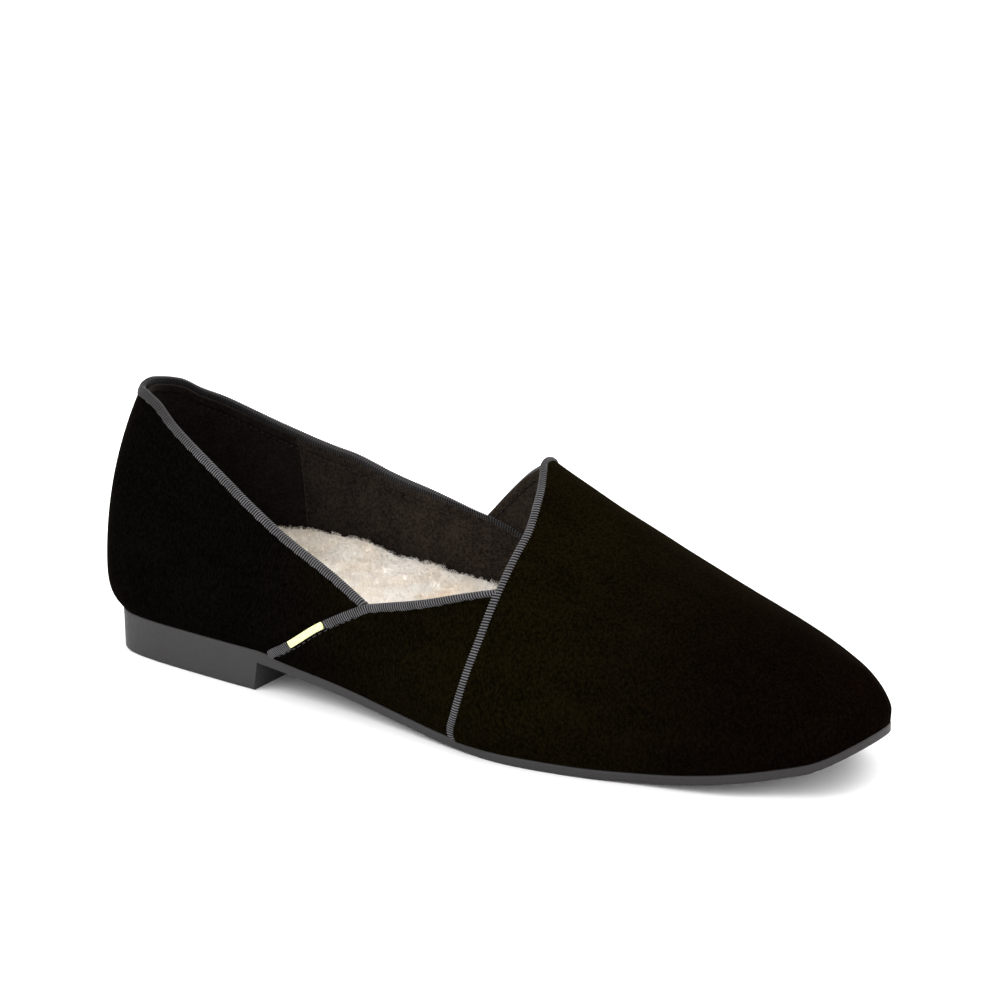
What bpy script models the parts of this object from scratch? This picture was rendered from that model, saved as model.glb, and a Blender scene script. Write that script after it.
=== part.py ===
# Velvet slipper loafer, right shoe: +X to the toe, +Y to the inner side, +Z up, in metres.
# The origin is the middle of the heel's flat underside.
import math
from collections import namedtuple

import bmesh
import bpy
from mathutils import Vector

for leftover in list(bpy.data.objects):
    bpy.data.objects.remove(leftover, do_unlink=True)

MM = 0.001

# The last
SOLE_LENGTH = 254 * MM
BALL_WIDTH = 86 * MM
CONE_HEIGHT = 83 * MM
BACK_LEAN = 14.5 * MM
TOE_SLOPE = 9.0 * MM
FEATHER_TUCK = 3.4 * MM
TUCK_HEIGHT = 16 * MM

# The sole
HEEL_HEIGHT = 8.7 * MM
HEEL_LENGTH = 64.5 * MM
BREAST_UNDERCUT = 1.2 * MM
HEEL_TAPER = 0.2 * MM
TOE_SPRING = 13.6 * MM
SEAT_THICKNESS = 4.3 * MM
SOLE_THICKNESS = 3.1 * MM
SOLE_CHAMFER = 0.4 * MM

# The upper, its folded ribbons and the fleece footbed
WALL = 2.2 * MM
PANEL_STEP = 0.9 * MM
PEAK_STEP = 0.2 * MM
VAMP_STEP_RUN = 26 * MM
PANEL_STEP_RUN = 40 * MM
RIBBON_WIDTH = 2.6 * MM
RIBBON_RISE = 1.2 * MM
COLLAR_RISE = 0.4 * MM
RIBBON_CROWN = 0.25 * MM
LINING_FOLD = 0.3 * MM
TUCK_THICKNESS = 0.9 * MM
TAB_THICKNESS = 0.6 * MM
TAB_LENGTH = 15.5 * MM
TAB_START = 12.5 * MM
PILE_EDGE = 19 * MM
PILE_DISH = 5 * MM
LOCK_HEIGHT = 1.1 * MM
LOCK_PITCH = 13 * MM
FOOTBED_CLEARANCE = 1.1 * MM
GAP = 0.3 * MM

NEAR = -1
FAR = 1
UPRIGHT = math.pi / 2

# One row per section of the last. Along is the share of its length from the heel, lateral and
# medial are shares of half the ball width, ridge is a share of the cone height, and fullness
# is the roundness of the section.
Section = namedtuple("Section", "along lateral medial ridge fullness")
SECTIONS = [
    Section(0.000, 0.000, 0.000, 0.980, 2.38),
    Section(0.012, 0.310, 0.290, 0.980, 2.36),
    Section(0.040, 0.510, 0.480, 0.990, 2.35),
    Section(0.080, 0.590, 0.580, 1.000, 2.37),
    Section(0.160, 0.670, 0.660, 1.000, 2.34),
    Section(0.240, 0.730, 0.680, 1.000, 2.25),
    Section(0.360, 0.790, 0.700, 0.990, 2.11),
    Section(0.460, 0.890, 0.760, 0.953, 1.97),
    Section(0.550, 1.010, 0.840, 0.893, 1.89),
    Section(0.620, 1.075, 0.920, 0.796, 1.85),
    Section(0.700, 1.030, 0.980, 0.664, 2.12),
    Section(0.780, 0.925, 0.945, 0.544, 2.25),
    Section(0.860, 0.830, 0.825, 0.435, 2.20),
    Section(0.930, 0.610, 0.630, 0.335, 2.11),
    Section(0.970, 0.490, 0.395, 0.255, 2.22),
    Section(0.990, 0.310, 0.206, 0.207, 2.22),
    Section(1.000, 0.000, 0.000, 0.173, 2.22),
]

# How far the back leans in, and the toe slopes back, at each level between feather and ridge
Lean = namedtuple("Lean", "level share")
BACK = [
    Lean(0.00, -0.04),
    Lean(0.04, -0.31),
    Lean(0.08, -0.39),
    Lean(0.20, -0.38),
    Lean(0.33, -0.33),
    Lean(0.50, -0.18),
    Lean(0.70, 0.13),
    Lean(0.82, 0.39),
    Lean(1.00, 1.00),
]
TOE = [
    Lean(0.00, 0.02),
    Lean(0.20, 0.00),
    Lean(0.40, 0.15),
    Lean(0.60, 0.41),
    Lean(0.80, 0.70),
    Lean(0.92, 0.88),
    Lean(1.00, 1.00),
]

# The sole seen from the side: heel is the share of the heel height that the shank still has,
# spring the share of the toe spring, and seat blends the sole's two thicknesses.
Run = namedtuple("Run", "along heel spring seat")
RUNS = [
    Run(0.000, 1.00, 0.00, 1.00),
    Run(0.250, 1.00, 0.00, 1.00),
    Run(0.315, 0.82, 0.00, 0.60),
    Run(0.390, 0.57, 0.00, 0.25),
    Run(0.470, 0.28, 0.00, 0.00),
    Run(0.550, 0.06, 0.00, 0.00),
    Run(0.610, 0.00, 0.00, 0.00),
    Run(0.700, 0.00, 0.00, 0.00),
    Run(0.787, 0.00, 0.06, 0.00),
    Run(0.866, 0.00, 0.235, 0.00),
    Run(0.945, 0.00, 0.495, 0.00),
    Run(1.000, 0.00, 1.00, 0.00),
]

# Edges of the upper's panels on the last, each with its ribbon just outside it. Lift is the
# angle round the section, from the feather at 0 to the ridge at 90 degrees.
Edge = namedtuple("Edge", "along lift")
NEAR_COLLAR = [
    Edge(0.000, 50.7),
    Edge(0.030, 50.8),
    Edge(0.060, 48.8),
    Edge(0.112, 43.1),
    Edge(0.160, 38.6),
    Edge(0.211, 34.1),
    Edge(0.268, 28.9),
    Edge(0.319, 25.7),
    Edge(0.376, 22.9),
    Edge(0.437, 19.8),
]
FAR_COLLAR = [
    Edge(0.000, 50.7),
    Edge(0.015, 48.8),
    Edge(0.038, 44.8),
    Edge(0.092, 39.8),
    Edge(0.163, 35.1),
    Edge(0.252, 31.5),
    Edge(0.361, 29.3),
    Edge(0.452, 29.6),
]
PANEL_TOP = [
    Edge(0.437, 19.8),
    Edge(0.500, 25.8),
    Edge(0.556, 32.8),
    Edge(0.608, 41.0),
]
PANEL_BACK = [
    Edge(0.282, 0.0),
    Edge(0.320, 3.6),
    Edge(0.374, 11.3),
    Edge(0.396, 14.3),
    Edge(0.437, 19.8),
]
NEAR_VAMP = [
    Edge(0.559, 0.0),
    Edge(0.574, 6.5),
    Edge(0.587, 16.4),
    Edge(0.600, 28.3),
    Edge(0.608, 41.0),
    Edge(0.611, 48.0),
    Edge(0.613, 59.3),
    Edge(0.600, 74.3),
    Edge(0.585, 85.2),
    Edge(0.577, 90.0),
]
FAR_VAMP = [
    Edge(0.345, 0.0),
    Edge(0.362, 6.1),
    Edge(0.392, 14.2),
    Edge(0.424, 22.8),
    Edge(0.452, 29.6),
    Edge(0.484, 39.3),
    Edge(0.517, 50.5),
    Edge(0.546, 61.3),
    Edge(0.569, 76.0),
    Edge(0.577, 90.0),
]
# The collar's ribbon runs on inside the vamp along this line
FAR_TUCK = [
    Edge(0.452, 29.6),
    Edge(0.475, 28.6),
    Edge(0.497, 26.8),
    Edge(0.525, 24.4),
]

# How deep the pile is along the footbed, as a share of its depth at the heel
Pile = namedtuple("Pile", "along depth")
PILES = [
    Pile(0.00, 1.00),
    Pile(0.45, 0.98),
    Pile(0.60, 0.80),
    Pile(0.80, 0.50),
    Pile(1.00, 0.34),
]

PEAK_FADE = 28
PANEL_ROWS = 10
FOOT_BUNCHING = 1.3
RIM_ROWS = 8
QUARTER_COLUMNS = 18
PANEL_COLUMNS = 8
VAMP_COLUMNS = 17
FOOTBED_END = 0.975
FOOTBED_STATIONS = 40
FOOTBED_ACROSS = 12
SOLE_STATIONS = 56

Material = namedtuple("Material", "red green blue roughness")
VELVET = Material(0.012, 0.011, 0.010, 0.95)
GROSGRAIN = Material(0.040, 0.040, 0.042, 0.80)
FLEECE = Material(0.780, 0.720, 0.620, 0.95)
RUBBER = Material(0.070, 0.068, 0.070, 0.70)
YELLOW = Material(0.820, 0.800, 0.420, 0.70)


class Curve:
    """A smooth curve through its keys that never overshoots them."""

    def __init__(self, keys, values):
        self.keys = list(keys)
        self.values = list(values)
        gaps = [after - before for before, after in zip(self.keys, self.keys[1:])]
        steps = [after - before for before, after in zip(self.values, self.values[1:])]
        rises = [step / gap for step, gap in zip(steps, gaps)]
        inner = [2 * a * b / (a + b) if a * b > 0 else 0.0 for a, b in zip(rises, rises[1:])]
        self.slopes = [rises[0]] + inner + [rises[-1]]

    def at(self, key):
        key = min(max(key, self.keys[0]), self.keys[-1])
        start = max(index for index, known in enumerate(self.keys[:-1]) if known <= key)
        gap = self.keys[start + 1] - self.keys[start]
        share = (key - self.keys[start]) / gap
        ease = share * share * (3 - 2 * share)
        leaving = self.slopes[start] * gap * share * (1 - share) ** 2
        arriving = self.slopes[start + 1] * gap * share * share * (share - 1)
        return self.values[start] * (1 - ease) + self.values[start + 1] * ease + leaving + arriving


def turn_of(along):
    """Bunches the sections towards heel and toe, where the outline turns quickly."""
    return math.acos(1 - 2 * min(max(along, 0.0), 1.0)) / math.pi


def along_of(turn):
    return (1 - math.cos(math.pi * turn)) / 2


def curve_of(rows, key, value):
    return Curve([getattr(row, key) for row in rows], [getattr(row, value) for row in rows])


SECTION_TURNS = [turn_of(row.along) for row in SECTIONS]
LATERAL = Curve(SECTION_TURNS, [row.lateral for row in SECTIONS])
MEDIAL = Curve(SECTION_TURNS, [row.medial for row in SECTIONS])
RIDGE = Curve(SECTION_TURNS, [row.ridge for row in SECTIONS])
FULLNESS = Curve(SECTION_TURNS, [row.fullness for row in SECTIONS])
BACK_SHARE = curve_of(BACK, "level", "share")
TOE_SHARE = curve_of(TOE, "level", "share")
HEEL_SHARE = curve_of(RUNS, "along", "heel")
SPRING_SHARE = curve_of(RUNS, "along", "spring")
SEAT_SHARE = curve_of(RUNS, "along", "seat")
PILE_SHARE = curve_of(PILES, "along", "depth")
ORIGIN_X = (HEEL_LENGTH - BREAST_UNDERCUT) / 2


def underside(along):
    """Height of the sole's lower face, the heel block left out."""
    return HEEL_HEIGHT * HEEL_SHARE.at(along) + TOE_SPRING * SPRING_SHARE.at(along)


def feather(along):
    """Height of the edge where the upper meets the sole."""
    thickness = SOLE_THICKNESS + (SEAT_THICKNESS - SOLE_THICKNESS) * SEAT_SHARE.at(along)
    return underside(along) + thickness


def last_point(turn, lift, side):
    """A point of the last at a turn from heel to toe and a lift from feather to ridge."""
    along = along_of(turn)
    fullness = FULLNESS.at(turn)
    across = max(math.cos(lift), 0.0)
    upward = max(math.sin(lift), 0.0)
    reach = (across ** fullness + upward ** fullness) ** (-1 / fullness)
    level = reach * upward
    rise = RIDGE.at(turn) * CONE_HEIGHT * level
    width = (LATERAL if side == NEAR else MEDIAL).at(turn)
    tuck = FEATHER_TUCK * max(0.0, 1 - rise / TUCK_HEIGHT) ** 2
    half = width * (BALL_WIDTH / 2 - tuck)
    back = BACK_LEAN * BACK_SHARE.at(level)
    front = SOLE_LENGTH - TOE_SLOPE * TOE_SHARE.at(level)
    x = back + along * (front - back) - ORIGIN_X
    return Vector((x, side * half * reach * across, feather(along) + rise))


def skin_point(turn, lift, side, out):
    """A point at a distance outside the last, square to its surface."""
    nudge = 0.002
    ahead = last_point(min(turn + nudge, 1.0), lift, side)
    behind = last_point(max(turn - nudge, 0.0), lift, side)
    higher = last_point(turn, min(lift + nudge, UPRIGHT), side)
    lower = last_point(turn, max(lift - nudge, 0.0), side)
    normal = (ahead - behind).cross(higher - lower) * -side
    return last_point(turn, lift, side) + normal.normalized() * out


def fade(distance, reach):
    """Falls smoothly from one to nothing over a reach."""
    share = min(max(distance / reach, 0.0), 1.0)
    return 1 - share * share * (3 - 2 * share)


def blend(start, end, share):
    return start + (end - start) * share


def vamp_step(lift, corner):
    """How far the vamp's edge stands off the last: less over the instep, where it covers nothing."""
    return blend(PEAK_STEP, PANEL_STEP, fade(lift - corner, math.radians(PEAK_FADE)))


def edge_place(rows, share):
    """A place on a rising edge, at a share of its own range of lifts."""
    along_at = curve_of(rows, "lift", "along")
    lift = blend(rows[0].lift, rows[-1].lift, share)
    return turn_of(along_at.at(lift)), math.radians(lift)


def top_place(rows, share):
    """A place on a topline, at a share of its own range of turns."""
    lift_at = Curve([turn_of(row.along) for row in rows], [row.lift for row in rows])
    turn = blend(turn_of(rows[0].along), turn_of(rows[-1].along), share)
    return turn, math.radians(lift_at.at(turn))


def heel_edge(rows):
    """The upright line at the back of the heel, as high as a topline that starts there."""
    return [Edge(0.0, 0.0), Edge(0.0, rows[0].lift)]


def lower_part(rows, lift):
    return [row for row in rows if row.lift <= lift]


def upper_part(rows, lift):
    return [row for row in rows if row.lift >= lift]


def row_share(row):
    """Bunches the rows of a panel towards the feather, where the upper turns under."""
    return (row / PANEL_ROWS) ** FOOT_BUNCHING


def side_columns(left, right, top, count, side, step, reach):
    """Columns of a panel on one side: it spans two rising edges below a topline."""
    columns = []
    for column in range(count + 1):
        across = column / count
        top_turn, top_lift = top_place(top, across)
        places = []
        for row in range(PANEL_ROWS + 1):
            upward = row_share(row)
            left_turn, left_lift = edge_place(left, upward)
            right_turn, right_lift = edge_place(right, upward)
            foot_turn = blend(edge_place(left, 0)[0], edge_place(right, 0)[0], across)
            head_turn = blend(edge_place(left, 1)[0], edge_place(right, 1)[0], across)
            turn = blend(left_turn, right_turn, across) + blend(foot_turn, top_turn, upward)
            turn -= blend(foot_turn, head_turn, upward)
            head_lift = blend(edge_place(left, 1)[1], edge_place(right, 1)[1], across)
            lift = blend(left_lift, right_lift, across) + (top_lift - head_lift) * upward
            distance = (along_of(turn) - along_of(left_turn)) * SOLE_LENGTH
            places.append((turn, lift, side, step * fade(distance, reach)))
        columns.append(places)
    return columns


def vamp_columns():
    """Columns of the vamp, from its near feather over the ridge to its far feather."""
    corner = PANEL_TOP[-1].lift
    far_corner = FAR_COLLAR[-1].lift
    toe_corner = (corner + far_corner) / 2
    rows = []
    for side, edge, lift in ((NEAR, NEAR_VAMP, corner), (FAR, FAR_VAMP, far_corner)):
        low, high = lower_part(edge, lift), upper_part(edge, lift)
        half = [(edge_place(low, row_share(row)), toe_corner * row_share(row))
                for row in range(PANEL_ROWS)]
        half += [(edge_place(high, row / RIM_ROWS), blend(toe_corner, 90.0, row / RIM_ROWS))
                 for row in range(RIM_ROWS + 1)]
        corner_lift = math.radians(lift)
        half = [(start, math.radians(toe), vamp_step(start[1], corner_lift), side) for start, toe in half]
        rows += half if side == NEAR else half[-2::-1]
    columns = []
    for column in range(VAMP_COLUMNS + 1):
        forward = column / VAMP_COLUMNS
        places = []
        for (turn_start, lift_start), toe_lift, step, side in rows:
            turn = blend(turn_start, 1.0, forward)
            distance = (along_of(turn) - along_of(turn_start)) * SOLE_LENGTH
            out = step * fade(distance, VAMP_STEP_RUN)
            places.append((turn, blend(lift_start, toe_lift, forward), side, out))
        columns.append(places)
    return columns


class Sheet:
    """A grid of places on the last that becomes a wall between two skins."""

    def __init__(self):
        self.places = {}
        self.faces = []

    def corner(self, place):
        turn, lift, side, out = place
        if min(turn, 1 - turn, UPRIGHT - lift) < 1e-6:
            side = NEAR
        key = (round(turn, 7), round(lift, 7), side, round(out, 7))
        if key not in self.places:
            self.places[key] = len(self.places)
        return self.places[key]

    def join(self, first, second):
        for low, high in zip(range(len(first) - 1), range(1, len(first))):
            face = [self.corner(place) for place in (first[low], second[low], second[high], first[high])]
            face = [corner for index, corner in enumerate(face) if corner != face[index - 1]]
            if len(face) > 2:
                self.faces.append(face)

    def wall(self, inner):
        """Closes the sheet with a second skin at a fixed distance inside the last."""
        outside = [skin_point(*key) for key in self.places]
        inside = [skin_point(turn, lift, side, inner) for turn, lift, side, _ in self.places]
        count = len(outside)
        edges = {(start, end) for face in self.faces for start, end in zip(face, face[1:] + face[:1])}
        rims = [(start, end) for start, end in edges if (end, start) not in edges]
        faces = [list(face) for face in self.faces]
        faces += [[corner + count for corner in reversed(face)] for face in self.faces]
        faces += [[end, start, start + count, end + count] for start, end in rims]
        return outside + inside, faces


def material(name, look):
    made = bpy.data.materials.new(name)
    made.use_nodes = True
    shader = made.node_tree.nodes["Principled BSDF"]
    shader.inputs["Base Color"].default_value = (look.red, look.green, look.blue, 1.0)
    shader.inputs["Roughness"].default_value = look.roughness
    shader.inputs["Metallic"].default_value = 0.0
    return made


def solid(name, points, faces, look):
    """Makes a closed smooth body in the shoe's collection, with its seam points joined."""
    mesh = bpy.data.meshes.new(name)
    mesh.from_pydata([tuple(point) for point in points], [], faces)
    shape = bmesh.new()
    shape.from_mesh(mesh)
    bmesh.ops.remove_doubles(shape, verts=shape.verts, dist=0.01 * MM)
    bmesh.ops.dissolve_degenerate(shape, edges=shape.edges, dist=0.01 * MM)
    bmesh.ops.triangulate(shape, faces=shape.faces)
    bmesh.ops.recalc_face_normals(shape, faces=shape.faces)
    shape.to_mesh(mesh)
    shape.free()
    mesh.shade_smooth()
    mesh.set_sharp_from_angle(angle=math.radians(40))
    mesh.materials.append(look)
    body = bpy.data.objects.new(name, mesh)
    bpy.data.collections["velvet_slipper_loafer"].objects.link(body)
    return body


def loft(loops):
    """Points and faces of a body through closed loops with as many points each."""
    around = len(loops[0])
    points = [point for loop in loops for point in loop]
    faces = []
    for start in range(0, len(points) - around, around):
        for index in range(around):
            after = (index + 1) % around
            faces.append([start + index, start + after, start + around + after, start + around + index])
    faces.append(list(range(around))[::-1])
    faces.append([len(points) - around + index for index in range(around)])
    return points, faces


def sole_edge(turn, side):
    """A point of the sole's outline and the way out from it, both level."""
    nudge = 0.002
    point = last_point(turn, 0.0, side)
    run = last_point(min(turn + nudge, 1.0), 0.0, side) - last_point(max(turn - nudge, 0.0), 0.0, side)
    return Vector((point.x, point.y, 0.0)), Vector((-side * run.y, side * run.x, 0.0)).normalized()


def sole_stations():
    """Turns along the sole, each with whether it is in the heel block."""
    heel_start, toe_end = last_point(0.0, 0.0, NEAR).x, last_point(1.0, 0.0, NEAR).x
    length = toe_end - heel_start
    breast = (HEEL_LENGTH - ORIGIN_X - heel_start) / length
    turns = [index / SOLE_STATIONS for index in range(SOLE_STATIONS + 1)]
    clear = 2 * MM / length
    stations = [(turn, along_of(turn) < breast) for turn in turns if abs(along_of(turn) - breast) > clear]
    stations += [(turn_of(breast), True), (turn_of(breast + GAP / length), False)]
    return sorted(stations, key=lambda station: station[0])


def sole_wall(turn, in_heel, side):
    """Points down the sole's edge at one station."""
    point, outward = sole_edge(turn, side)
    top = feather(along_of(turn)) - GAP
    bottom = 0.0 if in_heel else underside(along_of(turn))
    taper = HEEL_TAPER if in_heel else 0.0
    undercut = BREAST_UNDERCUT if in_heel and point.x > 0 else 0.0
    share = max(0.0, point.x / (HEEL_LENGTH - ORIGIN_X)) ** 4
    levels = [
        (top, SOLE_CHAMFER / 2, 0.0),
        (top - SOLE_CHAMFER / 2, 0.0, 0.0),
        (blend(bottom, top, 0.5), taper / 2, undercut * share / 2),
        (bottom + SOLE_CHAMFER, taper, undercut * share),
        (bottom, taper + SOLE_CHAMFER, undercut * share),
    ]
    return [point - outward * inset + Vector((-shift, 0, height)) for height, inset, shift in levels]


def make_outsole():
    stations = sole_stations()
    near = [sole_wall(turn, in_heel, NEAR) for turn, in_heel in stations]
    far = [sole_wall(turn, in_heel, FAR) for turn, in_heel in stations]
    ring = near + far[-2:0:-1]
    around, levels = len(ring), len(ring[0])
    points = [point for wall in ring for point in wall]
    faces = []
    for index in range(around):
        after = (index + 1) % around
        for level in range(levels - 1):
            low, high = index * levels + level, after * levels + level
            faces.append([low, high, high + 1, low + 1])
    for index in range(len(stations) - 1):
        opposite, next_opposite = (around - index) % around, (around - index - 1) % around
        for level in (0, levels - 1):
            corners = (index, index + 1, next_opposite, opposite)
            face = [corner * levels + level for corner in dict.fromkeys(corners)]
            faces.append(face if level else face[::-1])
    return solid("outsole", points, faces, material("charcoal_rubber", RUBBER))


def make_upper():
    sheet = Sheet()
    heel = heel_edge(NEAR_COLLAR)
    panel_corner, vamp_corner = PANEL_BACK[-1].lift, PANEL_TOP[-1].lift
    near = side_columns(heel, PANEL_BACK, NEAR_COLLAR, QUARTER_COLUMNS, NEAR, 0.0, 1.0)
    near += side_columns(PANEL_BACK, lower_part(NEAR_VAMP, vamp_corner), PANEL_TOP, PANEL_COLUMNS,
                         NEAR, PANEL_STEP, PANEL_STEP_RUN)
    far_corner = FAR_COLLAR[-1].lift
    far = side_columns(heel, lower_part(FAR_VAMP, far_corner), FAR_COLLAR,
                       QUARTER_COLUMNS + PANEL_COLUMNS, FAR, 0.0, 1.0)
    vamp = vamp_columns()
    for first, second in zip(near, near[1:]):
        sheet.join(first, second)
    sheet.join(near[-1], vamp[0][:PANEL_ROWS + 1])
    for first, second in zip(far, far[1:]):
        sheet.join(second, first)
    sheet.join(vamp[0][:-PANEL_ROWS - 2:-1], far[-1])
    for first, second in zip(vamp, vamp[1:]):
        sheet.join(first, second)
    points, faces = sheet.wall(-WALL)
    return solid("upper", points, faces, material("black_velvet", VELVET))


def pile_lift(turn, side, depth):
    """The lift at which the inside of the upper is a depth above the feather."""
    low, high = 0.0, UPRIGHT
    floor = feather(along_of(turn))
    for _ in range(24):
        middle = (low + high) / 2
        if skin_point(turn, middle, side, -WALL - FOOTBED_CLEARANCE).z - floor < depth:
            low = middle
        else:
            high = middle
    return low


def footbed_loop(turn):
    """A section of the footbed: up the near wall, over the pile and down the far wall."""
    along = along_of(turn)
    depth = PILE_EDGE * PILE_SHARE.at(along)
    walls = []
    for side in (NEAR, FAR):
        top = pile_lift(turn, side, depth)
        walls.append([skin_point(turn, top * row / 3, side, -WALL - FOOTBED_CLEARANCE) for row in range(4)])
    near, far = walls
    over, under = [], []
    for step in range(1, FOOTBED_ACROSS):
        share = step / FOOTBED_ACROSS
        point = near[-1].lerp(far[-1], share)
        middle = 1 - (2 * share - 1) ** 4
        locks = math.sin(math.tau * point.x / LOCK_PITCH) * math.cos(math.tau * point.y / LOCK_PITCH)
        depth_share = depth / PILE_EDGE * middle
        point.z += (LOCK_HEIGHT * locks - PILE_DISH) * depth_share
        over.append(point)
        point = near[0].lerp(far[0], share)
        point.z = feather(along) + GAP / 10
        under.append(point)
    return near + over + far[::-1] + under[::-1]


def make_insole():
    start, end = 0.03, turn_of(FOOTBED_END)
    loops = [footbed_loop(blend(start, end, step / FOOTBED_STATIONS)) for step in range(FOOTBED_STATIONS + 1)]
    points, faces = loft(loops)
    return solid("insole", points, faces, material("cream_fleece", FLEECE))


class Route:
    """A line of places on the last, read by the distance along it."""

    def __init__(self, places):
        self.places = places
        points = [last_point(*place) for place in places]
        self.marks = [0.0]
        for before, after in zip(points, points[1:]):
            self.marks.append(self.marks[-1] + (after - before).length)
        self.length = self.marks[-1]

    def place(self, distance):
        distance = min(max(distance, 0.0), self.length)
        start = max(index for index, mark in enumerate(self.marks[:-1]) if mark <= distance)
        gap = self.marks[start + 1] - self.marks[start]
        share = (distance - self.marks[start]) / gap
        first, second = self.places[start], self.places[start + 1]
        side = second[2] if share > 0 and min(first[0], UPRIGHT - first[1]) < 1e-6 else first[2]
        return blend(first[0], second[0], share), blend(first[1], second[1], share), side

    def frame(self, distance, sense):
        """The point there, the way along, the way out and the way across towards the edge."""
        place = self.place(distance)
        point = skin_point(*place, 0.0)
        outward = (skin_point(*place, MM) - point).normalized()
        ahead = last_point(*self.place(distance + MM)) - last_point(*self.place(distance - MM))
        across = (outward.cross(ahead) * sense).normalized()
        return point, ahead.normalized(), outward, across


def edge_places(rows, side, count=60):
    places = []
    for index in range(count + 1):
        turn, lift = edge_place(rows, index / count)
        places.append((turn, lift, side))
    return places


def top_places(rows, side, count=60):
    places = []
    for index in range(count + 1):
        turn, lift = top_place(rows, index / count)
        places.append((turn, lift, side))
    return places


def band_loops(route, sense, marks, heights, width=RIBBON_WIDTH, skews=(0.0, 0.0)):
    """Sections of a flat band beside a route, with heights giving its lower and upper faces."""
    loops = []
    for mark in marks:
        point, along, outward, across = route.frame(mark, sense)
        low, high = heights(mark)
        skew = skews[0] if mark == marks[0] else skews[1] if mark == marks[-1] else 0.0
        middle = GAP + width / 2
        corners = [
            (GAP, low),
            (GAP, high),
            (middle, high + RIBBON_CROWN),
            (GAP + width, high),
            (GAP + width, low),
            (middle, low),
        ]
        loops.append([point + across * reach + outward * out + along * (skew * reach)
                      for reach, out in corners])
    return loops


def spaced(start, end, spacing):
    count = max(1, round((end - start) / spacing))
    return [blend(start, end, index / count) for index in range(count + 1)]


def make_collar_binding():
    """The ribbon from the notch round the heel to the far vamp edge, and on inside the vamp."""
    topline = top_places(NEAR_COLLAR, NEAR)[::-1] + top_places(FAR_COLLAR, FAR)[1:]
    corner = Route(topline).length
    route = Route(topline + top_places(FAR_TUCK, FAR)[1:])
    start, fold_end, tuck_start = 2.1 * RIBBON_WIDTH, corner - 3 * RIBBON_WIDTH, corner - 2 * RIBBON_WIDTH
    marks = spaced(start, fold_end, 3.2 * MM) + spaced(tuck_start, route.length, 3.2 * MM)
    inside = -WALL - GAP
    heights = lambda mark: ((inside - TUCK_THICKNESS, inside) if mark > fold_end
                            else (-WALL - LINING_FOLD, COLLAR_RISE))
    loops = band_loops(route, -1, marks, heights, skews=(-0.75, 0.0))
    return solid("collar_binding", *loft(loops), material("ribbed_ribbon", GROSGRAIN))


def panel_route():
    back = edge_places(PANEL_BACK, NEAR)
    return Route(back + top_places(PANEL_TOP, NEAR)[1:]), Route(back).length


def panel_rise(mark):
    """The ribbon lies flatter under the tab."""
    under_tab = TAB_START - GAP <= mark <= TAB_START + TAB_LENGTH + GAP
    return RIBBON_RISE / 2 if under_tab else RIBBON_RISE


def tab_marks():
    return spaced(TAB_START, TAB_START + TAB_LENGTH, 2.6 * MM)


def make_side_panel_binding():
    """The ribbon up the back of the side panel and along its top."""
    route, corner = panel_route()
    start, end = 1.2 * MM, route.length - RIBBON_WIDTH - 4 * GAP
    tab_end = TAB_START + TAB_LENGTH
    marks = spaced(start, TAB_START - 3 * GAP, 2.8 * MM)
    marks += [TAB_START - GAP] + tab_marks() + [tab_end + GAP]
    marks += spaced(tab_end + 3 * GAP, corner + 2 * GAP, 2.8 * MM)
    marks += spaced(corner + 4 * GAP, end, 2.8 * MM)
    heights = lambda mark: (-WALL - LINING_FOLD if mark > corner + 3 * GAP else GAP, panel_rise(mark))
    loops = band_loops(route, 1, marks, heights)
    return solid("side_panel_binding", *loft(loops), bpy.data.materials["ribbed_ribbon"])


def make_ribbon_tab():
    """A short folded ribbon over the side panel's binding."""
    route, _ = panel_route()
    low = RIBBON_RISE / 2 + RIBBON_CROWN + GAP
    loops = band_loops(route, 1, tab_marks(), lambda mark: (low, low + TAB_THICKNESS),
                       width=RIBBON_WIDTH - GAP)
    return solid("ribbon_tab", *loft(loops), material("yellow_ribbon", YELLOW))


def make_vamp_binding():
    """The ribbon along the vamp's whole edge, over the instep and down both sides."""
    near_lift, far_lift = PANEL_TOP[-1].lift, FAR_COLLAR[-1].lift
    near = edge_places(NEAR_VAMP, NEAR, 120)
    far = edge_places(FAR_VAMP, FAR, 120)[::-1]
    route = Route(near + far[1:])
    near_corner = Route(edge_places(lower_part(NEAR_VAMP, near_lift), NEAR)).length
    far_corner = route.length - Route(edge_places(lower_part(FAR_VAMP, far_lift), FAR)).length
    start, end = 1.2 * MM, route.length - 1.2 * MM
    marks = spaced(start, near_corner + GAP, 3.2 * MM)
    marks += spaced(near_corner + 3 * GAP, far_corner - 3 * GAP, 2.6 * MM)
    marks += spaced(far_corner - GAP, end, 3.2 * MM)
    over = RIBBON_RISE - PANEL_STEP

    def heights(mark):
        rim = near_corner + 2 * GAP < mark < far_corner - 2 * GAP
        _, lift, side = route.place(mark)
        corner_lift = math.radians(near_lift if side == NEAR else far_lift)
        return -WALL if rim else GAP, vamp_step(lift, corner_lift) + over

    loops = band_loops(route, 1, marks, heights)
    return solid("vamp_binding", *loft(loops), bpy.data.materials["ribbed_ribbon"])


shoe = bpy.data.collections.new("velvet_slipper_loafer")
bpy.context.scene.collection.children.link(shoe)
make_outsole()
make_upper()
make_insole()
make_collar_binding()
make_side_panel_binding()
make_ribbon_tab()
make_vamp_binding()
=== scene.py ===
import math
import random

import bmesh
import bpy
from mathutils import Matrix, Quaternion, Vector


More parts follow.
